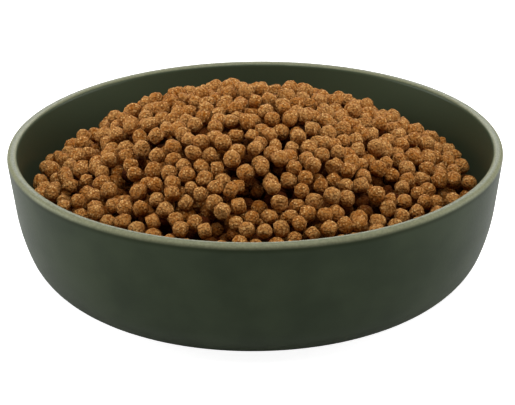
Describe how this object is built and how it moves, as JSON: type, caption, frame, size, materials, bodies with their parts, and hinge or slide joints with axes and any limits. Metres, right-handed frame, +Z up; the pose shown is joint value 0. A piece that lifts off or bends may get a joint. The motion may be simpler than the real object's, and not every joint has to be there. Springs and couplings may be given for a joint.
{
  "type": "bowl of dry pet food",
  "caption": "Round straight-sided stoneware bowl with a rounded lip and foot ring, heaped with small round dry kibble.",
  "frame": {"origin": "middle of the foot ring's underside, on the surface the bowl stands on", "axes": "+Z up along the bowl's axis, -Y towards the side the picture shows"},
  "size_m": [0.24, 0.24, 0.0901],
  "materials": {
    "olive_glaze": "satin",
    "baked_kibble": "matte"
  },
  "bodies": {
    "root": {"bowl": "olive_glaze", "kibble_heap": "baked_kibble", "pellet_01": "baked_kibble", "pellet_02": "baked_kibble", "pellet_03": "baked_kibble", "pellet_04": "baked_kibble", "pellet_05": "baked_kibble", "pellet_06": "baked_kibble", "pellet_07": "baked_kibble", "pellet_08": "baked_kibble", "pellet_09": "baked_kibble", "pellet_10": "baked_kibble", "pellet_11": "baked_kibble", "pellet_12": "baked_kibble", "pellet_13": "baked_kibble", "pellet_14": "baked_kibble", "pellet_15": "baked_kibble", "pellet_16": "baked_kibble", "pellet_17": "baked_kibble", "pellet_18": "baked_kibble", "pellet_19": "baked_kibble", "pellet_20": "baked_kibble", "pellet_21": "baked_kibble", "pellet_22": "baked_kibble", "pellet_23": "baked_kibble", "pellet_24": "baked_kibble", "pellet_25": "baked_kibble", "pellet_26": "baked_kibble"}
  },
  "joints": []
}
